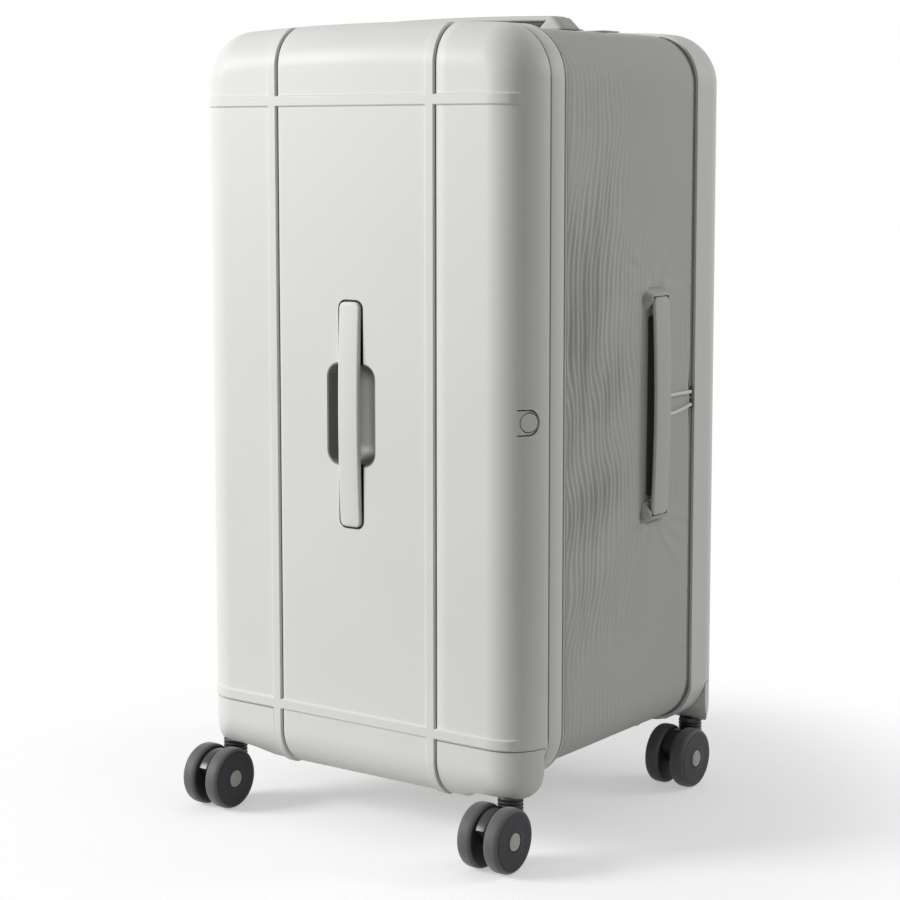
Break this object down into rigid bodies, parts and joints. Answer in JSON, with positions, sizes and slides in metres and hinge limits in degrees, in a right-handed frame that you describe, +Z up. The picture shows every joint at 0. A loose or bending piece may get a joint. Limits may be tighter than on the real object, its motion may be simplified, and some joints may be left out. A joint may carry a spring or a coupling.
{
  "type": "trunk suitcase",
  "caption": "Upright trunk suitcase with ribbed hard shells, a padded fabric gusset, a hinged front door, pull-out grips, a telescopic handle and swivelling twin-wheel casters.",
  "frame": {"origin": "middle of the outer box, on the floor that the wheels stand on", "axes": "+Z up, -Y towards the front door, +X towards the latch button"},
  "size_m": [0.3978, 0.4, 0.7647],
  "materials": {
    "shell": "pale warm grey moulded shell, satin",
    "fabric": "padded fine woven fabric, greenish grey, matt",
    "grip": "smooth covered grip, pale grey, satin",
    "cup": "dark grey moulded bowl, matt",
    "dark": "black moulded plastic, satin",
    "tyre": "dark grey wheel tread and face, soft sheen",
    "cap": "pale greenish grey, smooth",
    "metal": "plain steel, brushed",
    "tube": "anodised aluminium, matt",
    "lining": "plain fabric over a thin board"
  },
  "bodies": {
    "main_body": {"frame": "shell", "compartment_divider": "lining", "front_piping": "grip", "fabric_gusset": "fabric", "gusset_zip": "dark", "side_grip_upper_mount": "fabric", "side_grip_lower_mount": "fabric", "top_grip_right_mount": "fabric", "top_grip_left_mount": "fabric", "frame_hinge_leaf": "metal", "hinge_pin": "metal", "latch_striker": "metal"},
    "front_door": {"front_door_shell": "shell", "front_left_corner_housing": "shell", "front_right_corner_housing": "shell", "front_grip_cup": "cup", "latch_bezel": "shell", "latch_case": "dark", "door_hinge_leaf": "metal", "door_lining": "lining"},
    "latch_button": {"latch_button": "grip"},
    "latch_bolt": {"latch_bolt": "metal"},
    "front_grip": {"front_grip": "grip"},
    "side_grip": {"side_grip": "grip"},
    "top_grip": {"top_grip": "grip"},
    "rear_shell": {"back_shell": "shell", "back_right_corner_housing": "shell", "back_left_corner_housing": "shell", "back_shell_zip": "dark", "back_lining": "lining", "trolley_well": "dark", "trolley_outer_tubes": "tube"},
    "trolley_middle_stage": {"trolley_left_middle_tube": "tube", "trolley_right_middle_tube": "tube"},
    "trolley_handle": {"trolley_left_inner_tube": "tube", "trolley_right_inner_tube": "tube", "trolley_grip": "dark"},
    "trolley_push_button": {"trolley_push_button": "dark"},
    "upper_zip_slider": {"upper_zip_slider": "dark"},
    "upper_zip_pull": {"upper_zip_pull": "cap"},
    "lower_zip_slider": {"lower_zip_slider": "dark"},
    "lower_zip_pull": {"lower_zip_pull": "cap"},
    "front_left_caster": {"front_left_caster_fork": "dark", "front_left_caster_axle": "cap"},
    "front_left_caster_left_wheel": {"front_left_caster_left_wheel": "tyre"},
    "front_left_caster_right_wheel": {"front_left_caster_right_wheel": "tyre"},
    "front_right_caster": {"front_right_caster_fork": "dark", "front_right_caster_axle": "cap"},
    "front_right_caster_left_wheel": {"front_right_caster_left_wheel": "tyre"},
    "front_right_caster_right_wheel": {"front_right_caster_right_wheel": "tyre"},
    "back_left_caster": {"back_left_caster_fork": "dark", "back_left_caster_axle": "cap"},
    "back_left_caster_left_wheel": {"back_left_caster_left_wheel": "tyre"},
    "back_left_caster_right_wheel": {"back_left_caster_right_wheel": "tyre"},
    "back_right_caster": {"back_right_caster_fork": "dark", "back_right_caster_axle": "cap"},
    "back_right_caster_left_wheel": {"back_right_caster_left_wheel": "tyre"},
    "back_right_caster_right_wheel": {"back_right_caster_right_wheel": "tyre"}
  },
  "joints": [
    {"name": "door_swing", "type": "hinge", "parent": "main_body", "child": "front_door", "pos_m": [-0.19585, -0.1235, 0.408], "axis": [0, 0, -1], "range_deg": [0, 100]},
    {"name": "latch_button_press", "type": "slide", "parent": "front_door", "child": "latch_button", "axis": [-0.8572, 0.515, 0], "range_m": [0, 0.003], "stiffness_N_per_m": 600},
    {"name": "latch_bolt_slide", "type": "slide", "parent": "front_door", "child": "latch_bolt", "axis": [-1, 0, 0], "range_m": [0, 0.003]},
    {"name": "front_grip_pull", "type": "slide", "parent": "front_door", "child": "front_grip", "axis": [0, -1, 0], "range_m": [0, 0.0095], "stiffness_N_per_m": 900},
    {"name": "side_grip_pull", "type": "slide", "parent": "main_body", "child": "side_grip", "axis": [1, 0, 0], "range_m": [0, 0.0095], "stiffness_N_per_m": 900},
    {"name": "top_grip_pull", "type": "slide", "parent": "main_body", "child": "top_grip", "axis": [0, 0, 1], "range_m": [0, 0.0095], "stiffness_N_per_m": 900},
    {"name": "rear_shell_swing", "type": "hinge", "parent": "main_body", "child": "rear_shell", "pos_m": [-0.19255, 0.13055, 0.408], "axis": [0, 0, 1], "range_deg": [0, 100]},
    {"name": "middle_stage_slide", "type": "slide", "parent": "rear_shell", "child": "trolley_middle_stage", "axis": [0, 0, 1], "range_m": [0, 0.175]},
    {"name": "handle_slide", "type": "slide", "parent": "trolley_middle_stage", "child": "trolley_handle", "axis": [0, 0, 1], "range_m": [0, 0.175]},
    {"name": "trolley_button_press", "type": "slide", "parent": "trolley_handle", "child": "trolley_push_button", "axis": [0, 0, -1], "range_m": [0, 0.004], "stiffness_N_per_m": 400},
    {"name": "upper_zip_slide", "type": "slide", "parent": "main_body", "child": "upper_zip_slider", "axis": [0, 0, 1], "range_m": [0, 0.28]},
    {"name": "upper_pull_swing", "type": "hinge", "parent": "upper_zip_slider", "child": "upper_zip_pull", "pos_m": [0.18775, 0.1257, 0.4035], "axis": [1, 0, 0], "range_deg": [-80, 0]},
    {"name": "lower_zip_slide", "type": "slide", "parent": "main_body", "child": "lower_zip_slider", "axis": [0, 0, -1], "range_m": [0, 0.26]},
    {"name": "lower_pull_swing", "type": "hinge", "parent": "lower_zip_slider", "child": "lower_zip_pull", "pos_m": [0.18775, 0.1257, 0.3915], "axis": [1, 0, 0], "range_deg": [0, 80]},
    {"name": "front_left_caster_swivel", "type": "hinge", "parent": "front_door", "child": "front_left_caster", "pos_m": [-0.16655, -0.1455, 0.06], "axis": [0, 0, 1], "continuous": true},
    {"name": "front_left_caster_left_wheel_spin", "type": "hinge", "parent": "front_left_caster", "child": "front_left_caster_left_wheel", "pos_m": [-0.16655, -0.1705, 0.0295], "axis": [1, 0, 0], "continuous": true},
    {"name": "front_left_caster_right_wheel_spin", "type": "hinge", "parent": "front_left_caster", "child": "front_left_caster_right_wheel", "pos_m": [-0.16655, -0.1705, 0.0295], "axis": [1, 0, 0], "continuous": true},
    {"name": "front_right_caster_swivel", "type": "hinge", "parent": "front_door", "child": "front_right_caster", "pos_m": [0.16245, -0.1455, 0.06], "axis": [0, 0, 1], "continuous": true},
    {"name": "front_right_caster_left_wheel_spin", "type": "hinge", "parent": "front_right_caster", "child": "front_right_caster_left_wheel", "pos_m": [0.16245, -0.1705, 0.0295], "axis": [1, 0, 0], "continuous": true},
    {"name": "front_right_caster_right_wheel_spin", "type": "hinge", "parent": "front_right_caster", "child": "front_right_caster_right_wheel", "pos_m": [0.16245, -0.1705, 0.0295], "axis": [1, 0, 0], "continuous": true},
    {"name": "back_left_caster_swivel", "type": "hinge", "parent": "rear_shell", "child": "back_left_caster", "pos_m": [-0.16655, 0.1775, 0.06], "axis": [0, 0, 1], "continuous": true},
    {"name": "back_left_caster_left_wheel_spin", "type": "hinge", "parent": "back_left_caster", "child": "back_left_caster_left_wheel", "pos_m": [-0.16655, 0.1525, 0.0295], "axis": [1, 0, 0], "continuous": true},
    {"name": "back_left_caster_right_wheel_spin", "type": "hinge", "parent": "back_left_caster", "child": "back_left_caster_right_wheel", "pos_m": [-0.16655, 0.1525, 0.0295], "axis": [1, 0, 0], "continuous": true},
    {"name": "back_right_caster_swivel", "type": "hinge", "parent": "rear_shell", "child": "back_right_caster", "pos_m": [0.16245, 0.1775, 0.06], "axis": [0, 0, 1], "continuous": true},
    {"name": "back_right_caster_left_wheel_spin", "type": "hinge", "parent": "back_right_caster", "child": "back_right_caster_left_wheel", "pos_m": [0.16245, 0.1525, 0.0295], "axis": [1, 0, 0], "continuous": true},
    {"name": "back_right_caster_right_wheel_spin", "type": "hinge", "parent": "back_right_caster", "child": "back_right_caster_right_wheel", "pos_m": [0.16245, 0.1525, 0.0295], "axis": [1, 0, 0], "continuous": true}
  ],
  "couplings": [
    {"joint": "latch_bolt_slide", "follows": "latch_button_press", "ratio": 1}
  ]
}
